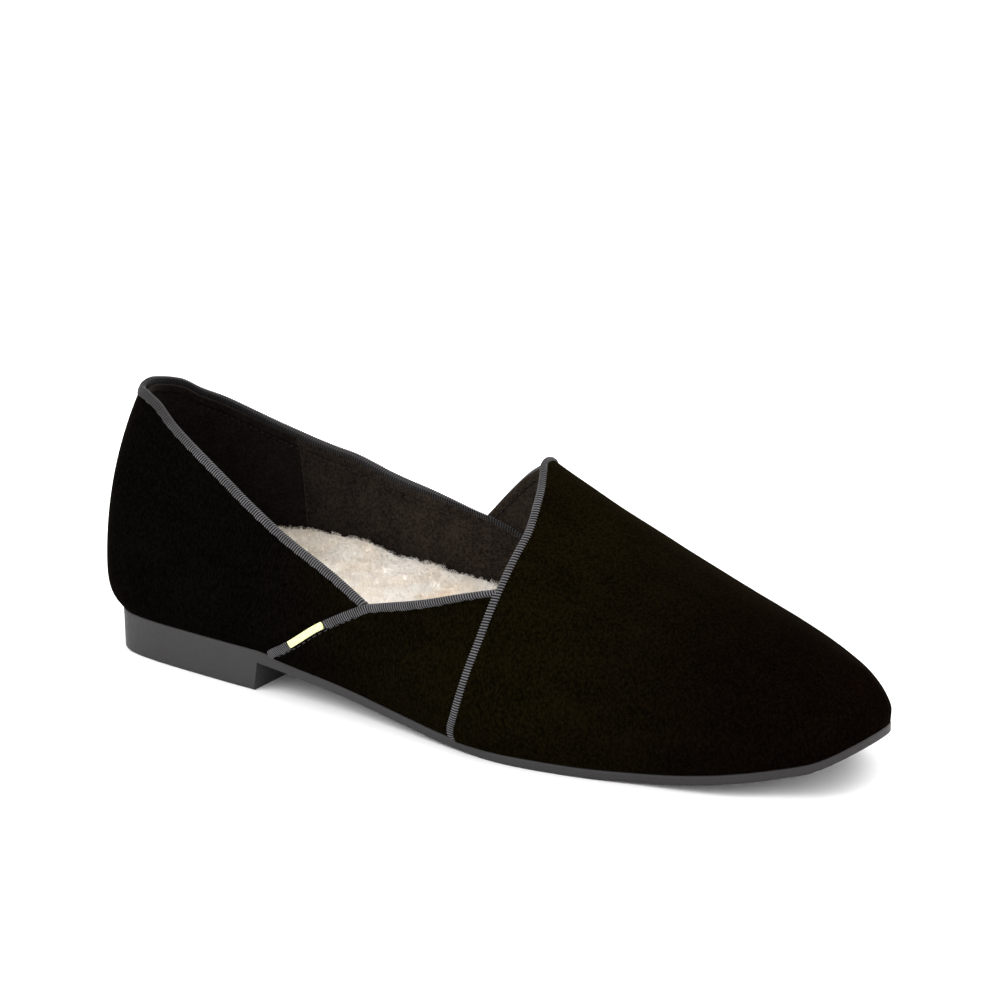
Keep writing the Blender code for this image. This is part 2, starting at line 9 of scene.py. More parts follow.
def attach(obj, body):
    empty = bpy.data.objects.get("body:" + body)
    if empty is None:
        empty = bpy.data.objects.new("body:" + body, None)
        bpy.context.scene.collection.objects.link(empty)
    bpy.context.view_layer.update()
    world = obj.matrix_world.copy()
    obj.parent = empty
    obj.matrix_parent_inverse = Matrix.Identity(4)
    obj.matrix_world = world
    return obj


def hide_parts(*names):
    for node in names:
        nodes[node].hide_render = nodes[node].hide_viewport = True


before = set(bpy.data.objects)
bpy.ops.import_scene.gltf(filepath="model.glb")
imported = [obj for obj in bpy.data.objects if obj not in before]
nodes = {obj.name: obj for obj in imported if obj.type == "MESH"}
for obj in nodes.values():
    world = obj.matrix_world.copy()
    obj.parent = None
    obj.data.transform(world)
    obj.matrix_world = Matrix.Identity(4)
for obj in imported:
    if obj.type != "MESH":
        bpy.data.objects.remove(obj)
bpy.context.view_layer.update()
mm = 0.001
near, far = -1, 1
upright = math.pi / 2
touching = 1e-6
print("frame loaded with", len(nodes), "nodes")


# the last, as the frame's own solids follow it
last = {
    "length": 254 * mm,
    "ballWidth": 86 * mm,
    "coneHeight": 83 * mm,
    "backLean": 14.5 * mm,
    "toeSlope": 9.0 * mm,
    "tuck": 3.4 * mm,
    "tuckHeight": 16 * mm,
    "heelHeight": 8.7 * mm,
    "toeSpring": 13.6 * mm,
    "seatThickness": 4.3 * mm,
    "soleThickness": 3.1 * mm,
    "origin": 31.65 * mm,
    "wall": 2.2 * mm,
    # along, lateral, medial, ridge, fullness
    "sections": [
        (0.000, 0.000, 0.000, 0.980, 2.38),
        (0.012, 0.310, 0.290, 0.980, 2.36),
        (0.040, 0.510, 0.480, 0.990, 2.35),
        (0.080, 0.590, 0.580, 1.000, 2.37),
        (0.160, 0.670, 0.660, 1.000, 2.34),
        (0.240, 0.730, 0.680, 1.000, 2.25),
        (0.360, 0.790, 0.700, 0.990, 2.11),
        (0.460, 0.890, 0.760, 0.953, 1.97),
        (0.550, 1.010, 0.840, 0.893, 1.89),
        (0.620, 1.075, 0.920, 0.796, 1.85),
        (0.700, 1.030, 0.980, 0.664, 2.12),
        (0.780, 0.925, 0.945, 0.544, 2.25),
        (0.860, 0.830, 0.825, 0.435, 2.20),
        (0.930, 0.610, 0.630, 0.335, 2.11),
        (0.970, 0.490, 0.395, 0.255, 2.22),
        (0.990, 0.310, 0.206, 0.207, 2.22),
        (1.000, 0.000, 0.000, 0.173, 2.22),
    ],
    # level, share
    "back": [(0.00, -0.04), (0.04, -0.31), (0.08, -0.39), (0.20, -0.38), (0.33, -0.33),
             (0.50, -0.18), (0.70, 0.13), (0.82, 0.39), (1.00, 1.00)],
    "toe": [(0.00, 0.02), (0.20, 0.00), (0.40, 0.15), (0.60, 0.41),
            (0.80, 0.70), (0.92, 0.88), (1.00, 1.00)],
    # along, heel, spring, seat
    "runs": [
        (0.000, 1.00, 0.00, 1.00),
        (0.250, 1.00, 0.00, 1.00),
        (0.315, 0.82, 0.00, 0.60),
        (0.390, 0.57, 0.00, 0.25),
        (0.470, 0.28, 0.00, 0.00),
        (0.550, 0.06, 0.00, 0.00),
        (0.610, 0.00, 0.00, 0.00),
        (0.700, 0.00, 0.00, 0.00),
        (0.787, 0.00, 0.06, 0.00),
        (0.866, 0.00, 0.235, 0.00),
        (0.945, 0.00, 0.495, 0.00),
        (1.000, 0.00, 1.00, 0.00),
    ],
}

# the panels' cut edges, as along and lift in degrees
edges = {
    "nearCollar": [(0.000, 50.7), (0.030, 50.8), (0.060, 48.8), (0.112, 43.1), (0.160, 38.6),
                   (0.211, 34.1), (0.268, 28.9), (0.319, 25.7), (0.376, 22.9), (0.437, 19.8)],
    "farCollar": [(0.000, 50.7), (0.015, 48.8), (0.038, 44.8), (0.092, 39.8), (0.163, 35.1),
                  (0.252, 31.5), (0.361, 29.3), (0.452, 29.6)],
    "farTuck": [(0.452, 29.6), (0.475, 28.6), (0.497, 26.8), (0.525, 24.4)],
    "panelTop": [(0.437, 19.8), (0.500, 25.8), (0.556, 32.8), (0.608, 41.0)],
    "panelBack": [(0.282, 0.0), (0.320, 3.6), (0.374, 11.3), (0.396, 14.3), (0.437, 19.8)],
    "nearVamp": [(0.559, 0.0), (0.574, 6.5), (0.587, 16.4), (0.600, 28.3), (0.608, 41.0),
                 (0.611, 48.0), (0.613, 59.3), (0.600, 74.3), (0.585, 85.2), (0.577, 90.0)],
    "farVamp": [(0.345, 0.0), (0.362, 6.1), (0.392, 14.2), (0.424, 22.8), (0.452, 29.6),
                (0.484, 39.3), (0.517, 50.5), (0.546, 61.3), (0.569, 76.0), (0.577, 90.0)],
}


def blend(start, end, share):
    return start + (end - start) * share


def ease(value, low, high):
    share = min(max((value - low) / (high - low), 0.0), 1.0)
    return share * share * (3 - 2 * share)


def smoothCurve(keys, values):
    # runs through every value without overshooting it
    gaps = [after - before for before, after in zip(keys, keys[1:])]
    rises = [(after - before) / gap for before, after, gap in zip(values, values[1:], gaps)]
    middles = [2 * a * b / (a + b) if a * b > 0 else 0.0 for a, b in zip(rises, rises[1:])]
    slopes = [rises[0]] + middles + [rises[-1]]

    def at(key):
        key = min(max(key, keys[0]), keys[-1])
        start = max(index for index, known in enumerate(keys[:-1]) if known <= key)
        share = (key - keys[start]) / gaps[start]
        eased = share * share * (3 - 2 * share)
        leaving = slopes[start] * gaps[start] * share * (1 - share) ** 2
        arriving = slopes[start + 1] * gaps[start] * share * share * (share - 1)
        return values[start] * (1 - eased) + values[start + 1] * eased + leaving + arriving

    return at


def turnOf(along):
    return math.acos(1 - 2 * min(max(along, 0.0), 1.0)) / math.pi


def alongOf(turn):
    return (1 - math.cos(math.pi * turn)) / 2


def column(rows, key, value, change=float):
    return smoothCurve([change(row[key]) for row in rows], [row[value] for row in rows])


lateral, medial, ridge, fullness = [column(last["sections"], 0, index, turnOf) for index in (1, 2, 3, 4)]
heelShare, springShare, seatShare = [column(last["runs"], 0, index) for index in (1, 2, 3)]
backShare, toeShare = column(last["back"], 0, 1), column(last["toe"], 0, 1)


def feather(along):
    sole = blend(last["soleThickness"], last["seatThickness"], seatShare(along))
    return last["heelHeight"] * heelShare(along) + last["toeSpring"] * springShare(along) + sole


def lastPoint(turn, lift, side):
    along, power = alongOf(turn), fullness(turn)
    across, upward = max(math.cos(lift), 0.0), max(math.sin(lift), 0.0)
    reach = (across ** power + upward ** power) ** (-1 / power)
    rise = ridge(turn) * last["coneHeight"] * reach * upward
    tuck = last["tuck"] * max(0.0, 1 - rise / last["tuckHeight"]) ** 2
    half = (lateral if side == near else medial)(turn) * (last["ballWidth"] / 2 - tuck)
    back = last["backLean"] * backShare(reach * upward)
    front = last["length"] - last["toeSlope"] * toeShare(reach * upward)
    x = back + along * (front - back) - last["origin"]
    return Vector((x, side * half * reach * across, feather(along) + rise))


def skinPoint(turn, lift, side, out):
    nudge = 0.002
    ahead = lastPoint(min(turn + nudge, 1.0), lift, side)
    behind = lastPoint(max(turn - nudge, 0.0), lift, side)
    higher = lastPoint(turn, min(lift + nudge, upright), side)
    lower = lastPoint(turn, max(lift - nudge, 0.0), side)
    normal = (ahead - behind).cross(higher - lower) * -side
    return lastPoint(turn, lift, side) + normal.normalized() * out


def risingEdge(name, side, count=120):
    rows = edges[name]
    alongAt = column(rows, 1, 0)
    lifts = [blend(rows[0][1], rows[-1][1], index / count) for index in range(count + 1)]
    return [(turnOf(alongAt(lift)), math.radians(lift), side) for lift in lifts]


def topEdge(name, side, count=90):
    rows = edges[name]
    liftAt = column(rows, 0, 1, turnOf)
    turns = [blend(turnOf(rows[0][0]), turnOf(rows[-1][0]), index / count) for index in range(count + 1)]
    return [(turn, math.radians(liftAt(turn)), side) for turn in turns]


class Route:
    # a line on the last that is read by the distance along it

    def __init__(self, places, sense):
        self.places, self.sense = places, sense
        points = [lastPoint(*place) for place in places]
        self.marks = [0.0]
        for before, after in zip(points, points[1:]):
            self.marks.append(self.marks[-1] + (after - before).length)
        self.length = self.marks[-1]
        self.start = 0

    def place(self, distance):
        distance = min(max(distance, 0.0), self.length)
        while self.marks[self.start] > distance:
            self.start -= 1
        while self.marks[self.start + 1] < distance:
            self.start += 1
        start = self.start
        share = (distance - self.marks[start]) / (self.marks[start + 1] - self.marks[start])
        first, second = self.places[start], self.places[start + 1]
        # a place on the heel's middle line or on the ridge belongs to both sides
        crossing = share > 0 and min(first[0], upright - first[1]) < touching
        side = second[2] if crossing else first[2]
        return blend(first[0], second[0], share), blend(first[1], second[1], share), side

    def frame(self, distance):
        place = self.place(distance)
        point = skinPoint(*place, 0.0)
        outward = (skinPoint(*place, mm) - point).normalized()
        ahead = lastPoint(*self.place(distance + mm)) - lastPoint(*self.place(distance - mm))
        across = (outward.cross(ahead) * self.sense).normalized()
        return point, ahead.normalized(), outward, across


topline = topEdge("nearCollar", near)[::-1] + topEdge("farCollar", far)[1:]
collarCorner = Route(topline, -1).length
heelMark = Route(topEdge("nearCollar", near), -1).length
collarRoute = Route(topline + topEdge("farTuck", far)[1:], -1)
panelRoute = Route(risingEdge("panelBack", near) + topEdge("panelTop", near)[1:], 1)
panelCorner = Route(risingEdge("panelBack", near), 1).length
vampRoute = Route(risingEdge("nearVamp", near) + risingEdge("farVamp", far)[-2::-1], 1)
print("routes worked out")


class Wire:
    # a socket, or the number in its place, that takes ordinary sums

    def __init__(self, finish, socket):
        self.finish, self.socket = finish, socket

    def sum(self, operation, first, second):
        return self.finish.node("ShaderNodeMath", {"operation": operation}, {0: first, 1: second})

    def __add__(self, other):
        return self.sum("ADD", self, other)

    def __radd__(self, other):
        return self.sum("ADD", other, self)

    def __sub__(self, other):
        return self.sum("SUBTRACT", self, other)

    def __rsub__(self, other):
        return self.sum("SUBTRACT", other, self)

    def __mul__(self, other):
        return self.sum("MULTIPLY", self, other)

    def __rmul__(self, other):
        return self.sum("MULTIPLY", other, self)


class Finish:
    # one material, built from its shader outwards

    def __init__(self, name, **fixed):
        self.material = bpy.data.materials.new(name)
        self.material.use_nodes = True
        self.tree = self.material.node_tree
        self.shader = self.tree.nodes["Principled BSDF"]
        for socket, value in fixed.items():
            self.shader.inputs[socket.replace("_", " ")].default_value = value
        self.place = self.node("ShaderNodeTexCoord", {}, {}, "Object")

    def node(self, kind, settings, values, output=0):
        made = self.tree.nodes.new(kind)
        for name, value in settings.items():
            setattr(made, name, value)
        for name, value in values.items():
            self.feed(made.inputs[name], value)
        return Wire(self, made.outputs[output])

    def feed(self, socket, value):
        if isinstance(value, Wire):
            self.tree.links.new(value.socket, socket)
        else:
            socket.default_value = value

    def noise(self, scale, detail=2.0, roughness=0.5, stretch=(1, 1, 1)):
        place = self.node("ShaderNodeMapping", {}, {"Vector": self.place, "Scale": stretch})
        return self.node("ShaderNodeTexNoise", {}, {
            "Vector": place, "Scale": scale, "Detail": detail, "Roughness": roughness}, "Fac")

    def axis(self, name):
        return self.node("ShaderNodeSeparateXYZ", {}, {0: self.place}, name)

    def range(self, value, low, high, to=(0.0, 1.0)):
        return self.node("ShaderNodeMapRange", {"interpolation_type": "SMOOTHSTEP"}, {
            "Value": value, "From Min": low, "From Max": high, "To Min": to[0], "To Max": to[1]})

    def colour(self, share, first, second):
        return self.node("ShaderNodeMix", {"data_type": "RGBA"}, {0: share, 6: first, 7: second}, 2)

    def paint(self, colour):
        self.feed(self.shader.inputs["Base Color"], colour)

    def rough(self, value):
        self.feed(self.shader.inputs["Roughness"], value)

    def bump(self, height, strength, distance):
        bump = self.node("ShaderNodeBump", {}, {"Height": height, "Strength": strength, "Distance": distance})
        self.feed(self.shader.inputs["Normal"], bump)


def tint(red, green, blue):
    return (red, green, blue, 1.0)


def scaled(colour, share):
    return tint(*[share * part for part in colour])


def velvetFinish():
    velvet = {
        # painted shade darkens the heel and toe, painted light and reflection lighten and warm the vamp
        "heel": (0.0012, 0.0010, 0.0008),
        "vamp": (0.0026, 0.0019, 0.0006),
        "toe": (0.0015, 0.0008, 0.0005),
        "deep": 0.55,
        "lifted": 2.2,
        "pile": 1500,
        "brushed": 90,
        "sheen": 0.016,
        "forward": (20 * mm, 120 * mm),
        "front": (130 * mm, 200 * mm),
    }
    finish = Finish("blackVelvet", Sheen_Weight=velvet["sheen"], Sheen_Roughness=0.25,
                    Sheen_Tint=tint(0.80, 0.66, 0.52), Specular_IOR_Level=0.0)
    pile = finish.noise(velvet["pile"], 3, 0.65, (1.0, 1.0, 0.6))
    brushed = finish.noise(velvet["brushed"], 3, 0.55, (0.6, 1.2, 1.2))
    forward = finish.range(finish.axis("X"), *velvet["forward"])
    front = finish.range(finish.axis("X"), *velvet["front"])

    # the pile's colour along the shoe, with painted shade at the heel and toe and painted light on the vamp
    def napWithPaintedLight(share):
        heelShadedNap, vampLitNap, toeShadedNap = [scaled(velvet[area], share) for area in ("heel", "vamp", "toe")]
        return finish.colour(front, finish.colour(forward, heelShadedNap, vampLitNap), toeShadedNap)

    stand = finish.range(pile * 0.9 + brushed * 0.2, 0.38, 0.76)
    finish.paint(finish.colour(stand, napWithPaintedLight(velvet["deep"]), napWithPaintedLight(velvet["lifted"])))
    finish.rough(finish.range(brushed, 0.3, 0.7, (0.86, 1.0)))
    finish.bump(pile + brushed * 0.2, 0.7, 0.35 * mm)
    return finish.material


def liningFinish():
    lining = {
        "crest": (0.0330, 0.0245, 0.0190),
        "grain": (0.0040, 0.0028, 0.0020),
        "heel": 0.22,
        "seam": 13.2 * mm,
        "seamWidth": 0.5 * mm,
        "seamFade": 0.8 * mm,
        "shade": 60 * mm,
        "shadeShare": 0.55,
    }
    finish = Finish("microsuedeLining", Sheen_Weight=0.05, Sheen_Roughness=0.5,
                    Sheen_Tint=tint(0.7, 0.6, 0.5), Specular_IOR_Level=0.05)
    grain = finish.noise(1150, 3, 0.7)
    clouds = finish.noise(130, 3, 0.6)
    forward = finish.axis("X")
    rise = finish.range(grain * 0.8 + clouds * 0.3, 0.36, 0.76)
    suede = finish.colour(rise, tint(*lining["grain"]), tint(*lining["crest"]))
    darkGrain, darkCrest = [scaled(lining[part], lining["heel"]) for part in ("grain", "crest")]
    dark = finish.colour(rise, darkGrain, darkCrest)
    seam = lining["seam"]
    ahead = finish.range(forward, seam - lining["seamFade"], seam + lining["seamFade"])
    fold = finish.node("ShaderNodeMath", {"operation": "ABSOLUTE"}, {0: forward - seam})
    groove = finish.range(fold, 0.0, lining["seamWidth"])
    # painted shade darkens the suede towards the heel seam; behind the seam the heel's piece is darker
    shade = finish.range(forward, seam, seam + lining["shade"], (lining["shadeShare"], 1.0))
    finish.paint(finish.colour(ahead, dark, finish.colour(shade, dark, suede)))
    finish.rough(finish.range(clouds, 0.3, 0.7, (0.85, 0.98)))
    finish.bump(grain * 0.7 + groove * 1.6, 0.6, 0.4 * mm)
    return finish.material


def ribbonFinish():
    cloth = {
        "valley": tint(0.0022, 0.0018, 0.0018),
        "crest": tint(0.132, 0.129, 0.136),
        "shaded": tint(0.016, 0.013, 0.013),
        "shade": (-60 * mm, 60 * mm),
        "peak": (66 * mm, 80 * mm),
        "peakShare": 0.35,
    }
    finish = Finish("charcoalGrosgrain", Sheen_Weight=0.05, Sheen_Roughness=0.4, Specular_IOR_Level=0.2)
    rib = finish.node("ShaderNodeAttribute", {"attribute_name": "rib"}, {}, "Fac")
    fibre = finish.noise(2600, 2, 0.6)
    highlightPatches = finish.noise(240, 2, 0.5)
    # the rib crests carry a painted highlight and the valleys a painted shade
    crest = finish.range(rib * 0.85 + fibre * 0.3 + highlightPatches * 0.25, 0.72, 1.14)
    # painted shade: the crests' painted highlight dims towards the heel, on the inner side and over the peak
    lit = finish.range(finish.axis("X") * 0.6 - finish.axis("Y") * 2, *cloth["shade"])
    peak = finish.range(finish.axis("Z"), *cloth["peak"], (1.0, cloth["peakShare"]))
    crestColour = finish.colour(lit * peak, cloth["shaded"], cloth["crest"])
    finish.paint(finish.colour(crest, cloth["valley"], crestColour))
    finish.rough(finish.range(fibre, 0.3, 0.7, (0.62, 0.82)))
    finish.bump(fibre, 0.35, 0.12 * mm)
    return finish.material


def tabFinish():
    cloth = {"base": tint(0.86, 0.86, 0.46), "shade": tint(0.74, 0.71, 0.27)}
    finish = Finish("paleYellowRibbon", Sheen_Weight=0.1, Specular_IOR_Level=0.3)
    weave = finish.node("ShaderNodeAttribute", {"attribute_name": "rib"}, {}, "Fac")
    fibre = finish.noise(1800, 2, 0.5)
    # the weave's valleys are darker, a painted shade, and a fine random fibre tone varies it
    finish.paint(finish.colour(finish.range(weave * 0.4 + fibre, 0.4, 0.9), cloth["shade"], cloth["base"]))
    finish.rough(finish.range(fibre, 0.3, 0.7, (0.55, 0.7)))
    finish.bump(weave * 0.4 + fibre * 0.5, 0.4, 0.12 * mm)
    return finish.material


def threadFinish(name, dark, light):
    finish = Finish(name, Specular_IOR_Level=0.2)
    twist = finish.noise(2400, 2, 0.5)
    finish.paint(finish.colour(finish.range(twist, 0.3, 0.7), tint(*dark), tint(*light)))
    finish.rough(finish.range(twist, 0.3, 0.7, (0.6, 0.8)))
    finish.bump(twist, 0.3, 0.1 * mm)
    return finish.material


def rubberFinish():
    rubber = {
        "face": tint(0.0222, 0.0208, 0.0216),
        "dust": tint(0.0268, 0.0254, 0.0260),
        "toe": tint(0.0175, 0.0155, 0.0155),
        "front": (120 * mm, 210 * mm),
    }
    finish = Finish("charcoalRubber", Specular_IOR_Level=0.25)
    skin = finish.noise(900, 3, 0.6)
    cloud = finish.noise(45, 3, 0.5)
    face = finish.colour(finish.range(cloud * 0.7 + skin * 0.4, 0.35, 0.85), rubber["face"], rubber["dust"])
    # painted shade: the rubber darkens towards the toe
    front = finish.range(finish.axis("X"), *rubber["front"])
    finish.paint(finish.colour(front, face, rubber["toe"]))
    finish.rough(finish.range(skin, 0.3, 0.7, (0.52, 0.66)))
    finish.bump(skin, 0.12, 0.1 * mm)
    return finish.material


def fleeceFinish():
    colours = {
        "wool": tint(0.98, 0.94, 0.88),
        "cream": tint(0.96, 0.88, 0.78),
        "tan": tint(0.92, 0.76, 0.58),
        # painted shade at the heel
        "heel": tint(0.72, 0.65, 0.54),
        "forward": (-15 * mm, 55 * mm),
    }
    finish = Finish("creamFleece", Sheen_Weight=0.35, Sheen_Roughness=0.6, Specular_IOR_Level=0.05)
    cloud = finish.noise(110, 3, 0.6)
    patch = finish.noise(48, 2, 0.5)
    fibre = finish.noise(1300, 2, 0.6)
    soft = finish.range(cloud * 0.7 + fibre * 0.3, 0.40, 0.60)
    wool = finish.colour(soft, colours["cream"], colours["wool"])
    unshadedWool = finish.colour(finish.range(patch, 0.58, 0.74, (0.0, 0.5)), wool, colours["tan"])
    # painted shade: the fleece darkens towards the heel, shaded by the quarter
    forward = finish.range(finish.axis("X"), *colours["forward"])
    finish.paint(finish.colour(forward, colours["heel"], unshadedWool))
    finish.rough(finish.range(fibre, 0.3, 0.7, (0.9, 1.0)))
    finish.bump(fibre + cloud * 0.5, 0.5, 0.5 * mm)
    return finish.material


looks = {
    "velvet": velvetFinish(),
    "lining": liningFinish(),
    "ribbon": ribbonFinish(),
    "tab": tabFinish(),
    "thread": threadFinish("charcoalThread", (0.012, 0.011, 0.012), (0.040, 0.037, 0.038)),
    "liningThread": threadFinish("brownThread", (0.010, 0.007, 0.006), (0.026, 0.020, 0.016)),
    "darkThread": threadFinish("blackThread", (0.0015, 0.0011, 0.0009), (0.005, 0.004, 0.0035)),
    "rubber": rubberFinish(),
    "fleece": fleeceFinish(),
}
print("materials ready:", ", ".join(looks))


def only(piece):
    bpy.ops.object.select_all(action="DESELECT")
    piece.select_set(True)
    bpy.context.view_layer.objects.active = piece


def applied(piece, name, kind, **settings):
    # adds a modifier and applies it
    only(piece)
    modifier = piece.modifiers.new(name, kind)
    for setting, value in settings.items():
        setattr(modifier, setting, value)
    bpy.ops.object.modifier_apply(modifier=name)


def settle(piece, slot, *replaced):
    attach(piece, "root")
    if replaced:
        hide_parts(*replaced)


quads = {"merge": 0.01 * mm, "faceAngle": math.radians(30), "shapeAngle": math.radians(75)}


def workCopy(nodeName, name, sharpest):
    # a merged copy of a solid in quads, its sharp edges creased for subdivision
    piece = bpy.data.objects.new(name, nodes[nodeName].data.copy())
    bpy.context.scene.collection.objects.link(piece)
    piece.data.name = name
    piece.data.materials.clear()
    only(piece)
    bpy.ops.object.mode_set(mode="EDIT")
    bpy.ops.mesh.select_all(action="SELECT")
    bpy.ops.mesh.remove_doubles(threshold=quads["merge"])
    bpy.ops.mesh.tris_convert_to_quads(face_threshold=quads["faceAngle"], shape_threshold=quads["shapeAngle"])
    bpy.ops.mesh.select_all(action="DESELECT")
    bpy.ops.object.mode_set(mode="OBJECT")
    shape = bmesh.new()
    shape.from_mesh(piece.data)
    crease = shape.edges.layers.float.new("crease_edge")
    for edge in shape.edges:
        if len(edge.link_faces) == 2 and edge.calc_face_angle() > math.radians(sharpest):
            edge[crease] = 1.0
    shape.to_mesh(piece.data)
    shape.free()
    return piece


throat = {
    "peak": lastPoint(turnOf(edges["nearVamp"][-1][0]), upright, near),
    "nearPull": 0.7 * mm,
    "farPull": 1.9 * mm,
    "between": (-3 * mm, 8 * mm),
    "reach": 18 * mm,
}


def pullPeak(piece):
    # draws the throat's point back towards the heel, in every piece that meets there
    for vertex in piece.data.vertices:
        away = (vertex.co - throat["peak"]).length
        pull = blend(throat["nearPull"], throat["farPull"], ease(vertex.co.y, *throat["between"]))
        vertex.co.x -= pull * (1 - ease(away, 0.0, throat["reach"]))


def makeUpper():
    upper = {"levels": 2, "sharp": 40, "axisHeight": 32 * mm, "back": 0 * mm, "front": 170 * mm}
    piece = workCopy("upper", "velvetUpper", upper["sharp"])
    piece.data.materials.append(looks["velvet"])
    piece.data.materials.append(looks["lining"])
    # faces turned towards a line along the foot's middle are lining
    for face in piece.data.polygons:
        middle = face.center
        axis = Vector((min(max(middle.x, upper["back"]), upper["front"]), 0.0, upper["axisHeight"]))
        face.material_index = 1 if face.normal.dot(middle - axis) < 0 else 0
    applied(piece, "smooth", "SUBSURF", levels=upper["levels"], render_levels=upper["levels"])
    only(piece)
    bpy.ops.object.shade_smooth_by_angle(angle=math.radians(upper["sharp"]))
    pullPeak(piece)
    settle(piece, "velvet", "upper")
    print("upper:", len(piece.data.polygons), "faces")


def makeOutsole():
    sole = {"levels": 2, "sharp": 30}
    piece = workCopy("outsole", "mouldedOutsole", sole["sharp"])
    piece.data.materials.append(looks["rubber"])
    applied(piece, "smooth", "SUBSURF", levels=sole["levels"], render_levels=sole["levels"])
    only(piece)
    bpy.ops.object.shade_smooth_by_angle(angle=math.radians(sole["sharp"]))
    settle(piece, "sole_rubber", "outsole")
    print("outsole:", len(piece.data.polygons), "faces")


ribbon = {
    "overlap": 0.35 * mm,
    "gap": 0.3 * mm,
    "fold": 0.3 * mm,
    "rise": 1.2 * mm,
    "ribPitch": 0.8 * mm,
    "ribDepth": 0.2 * mm,
    "ribBase": 0.7,
    "slant": 0.22,
    "waves": (0.9 * mm, 0.53 * mm),
    "waveShift": 1.3,
    "mitre": 3 * mm,
    "endShare": 0.55,
    "endRun": 0.5 * mm,
    "ribSteps": 5,
    "corners": 14,
    "squareness": 4.5,
    "smoothAngle": 50,
}
collar = {
    "start": 0.8 * mm,
    "skew": -0.75,
    "wave": 0.16 * mm,
    "nearReach": 2.1 * mm,
    "farReach": 2.9 * mm,
    "widens": (-45 * mm, 10 * mm),
    "nearFold": 1.3 * mm,
    "folds": (6 * mm, 70 * mm),
    "rise": 0.4 * mm,
    "tucks": (-28 * mm, -1 * mm),
    "tuckDepth": 0.1 * mm,
    "tuckThickness": 0.6 * mm,
}
panel = {
    "start": 0.2 * mm,
    "end": -0.4 * mm,
    "wave": 0.14 * mm,
    "reach": 2.3 * mm,
    "slimmer": 0.3 * mm,
    "narrows": 10 * mm,
    "rim": (0.6 * mm, 1.2 * mm),
    "clear": (0.9 * mm, 0.3 * mm),
}
vamp = {
    "inset": 1.2 * mm,
    "reach": 1.9 * mm,
    "peakSlimmer": 0.35 * mm,
    "slims": math.radians(62),
    "farNarrows": (math.radians(58), math.radians(84)),
    "rim": (0.3 * mm, 0.9 * mm),
    "step": 0.9 * mm,
    "peakStep": 0.2 * mm,
    "peakFade": math.radians(28),
    "peakLower": 0.35 * mm,
    "lowers": math.radians(70),
    "axisHeight": 32 * mm,
    "liningHeight": 40 * mm,
    "liningTurn": -0.3,
}
tab = {
    "start": 11.3 * mm,
    "length": 15.5 * mm,
    "thickness": 0.7 * mm,
    "lift": 1.05 * mm,
    "inset": 0.1 * mm,
    "ribs": 0.25,
}
inner = -last["wall"] - ribbon["fold"]


def hemWave(mark):
    # the uneven loops of a ribbon's lower hem
    long, short = ribbon["waves"]
    return (math.sin(mark / long) + math.sin(mark / short + ribbon["waveShift"])) / 2


def ribbedBand(name, route, start, end, heights, look, reaches, skew=0.0, wave=0.0, ribs=1.0):
    # a folded ribbon with raised ribs, swept beside a route; heights and reaches give its section
    steps = max(2, round((end - start) / ribbon["ribPitch"] * ribbon["ribSteps"]))
    points, values, faces = [], [], []
    count, power = ribbon["corners"], ribbon["squareness"]
    for step in range(steps + 1):
        mark = blend(start, end, step / steps)
        point, along, outward, across = route.frame(mark)
        low, high = heights(mark)
        inEdge, outEdge = reaches(mark)
        inEdge -= wave * hemWave(mark)
        lean = blend(skew, 0.0, ease(mark, start, start + ribbon["mitre"]))
        taper = min(1.0, ribbon["endShare"] + min(mark - start, end - mark) / ribbon["endRun"])
        for corner in range(count):
            angle = math.tau * (corner + 0.5) / count
            side, top = math.cos(angle), math.sin(angle)
            reach = (abs(side) ** power + abs(top) ** power) ** (-1 / power) * taper
            sideways = (inEdge + outEdge) / 2 + side * reach * (outEdge - inEdge) / 2
            rib = 0.5 + 0.5 * math.cos(math.tau * (mark + ribbon["slant"] * sideways) / ribbon["ribPitch"])
            height = (low + high) / 2 + top * reach * (high - low) / 2
            swell = ribbon["ribDepth"] * (rib - ribbon["ribBase"]) * ribs
            points.append(point + across * (sideways + side * swell) + outward * (height + top * swell)
                          + along * lean * sideways)
            values.append(rib)
    for step in range(steps):
        for corner in range(count):
            after = (corner + 1) % count
            low, high = step * count, (step + 1) * count
            faces.append([low + corner, low + after, high + after, high + corner])
    faces.append(list(range(count))[::-1])
    faces.append([steps * count + corner for corner in range(count)])
    mesh = bpy.data.meshes.new(name)
    mesh.from_pydata([tuple(point) for point in points], [], faces)
    mesh.attributes.new("rib", "FLOAT", "POINT").data.foreach_set("value", values)
    mesh.materials.append(look)
    piece = bpy.data.objects.new(name, mesh)
    bpy.context.scene.collection.objects.link(piece)
    only(piece)
    bpy.ops.object.mode_set(mode="EDIT")
    bpy.ops.mesh.select_all(action="SELECT")
    bpy.ops.mesh.normals_make_consistent(inside=False)
    bpy.ops.object.mode_set(mode="OBJECT")
    bpy.ops.object.shade_smooth_by_angle(angle=math.radians(ribbon["smoothAngle"]))
    return piece


def partLength(name, side, lift):
    # the distance along a rising edge up to a lift in degrees
    return Route([place for place in risingEdge(name, side) if math.degrees(place[1]) <= lift], 1).length


nearCorner = partLength("nearVamp", near, edges["panelTop"][-1][1])
farCorner = vampRoute.length - partLength("farVamp", far, edges["farCollar"][-1][1])


def collarHeights(mark):
    # the ribbon's fold slips inside the vamp at the far corner
    tucked = ease(mark, *[collarCorner + part for part in collar["tucks"]])
    folded = ease(mark, *[heelMark + part for part in collar["folds"]])
    inside = -last["wall"] - collar["tuckDepth"]
    low = blend(-collar["nearFold"], inner, folded)
    return blend(low, inside - collar["tuckThickness"], tucked), blend(collar["rise"], inside, tucked)


